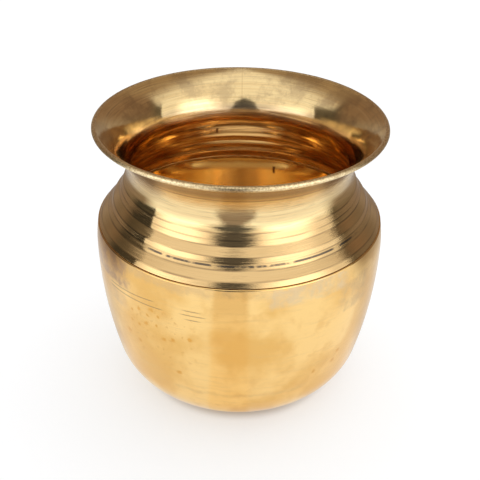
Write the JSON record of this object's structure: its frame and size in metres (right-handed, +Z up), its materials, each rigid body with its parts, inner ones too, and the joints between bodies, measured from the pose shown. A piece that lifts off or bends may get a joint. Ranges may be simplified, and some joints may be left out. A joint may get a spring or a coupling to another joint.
{
  "type": "kalash",
  "caption": "Small round-bellied brass ritual water pot with a ridged shoulder, a short neck, a wide flared mouth with a folded lip, and a flat base.",
  "frame": {"origin": "centre of the flat base, on the surface that the pot stands on", "axes": "+Z up along the pot's axis of revolution; X and Y are alike"},
  "size_m": [0.104, 0.104, 0.1034],
  "materials": {
    "body_brass": "polished, softly mottled, warm golden brass with small darker specks and fine scratches",
    "neck_brass": "polished over fine circumferential turning lines, paler than the body",
    "braze": "satin, dull, as it flowed"
  },
  "bodies": {
    "root": {"body": "body_brass", "shoulder_neck": "neck_brass", "seam_braze": "braze"}
  },
  "joints": []
}
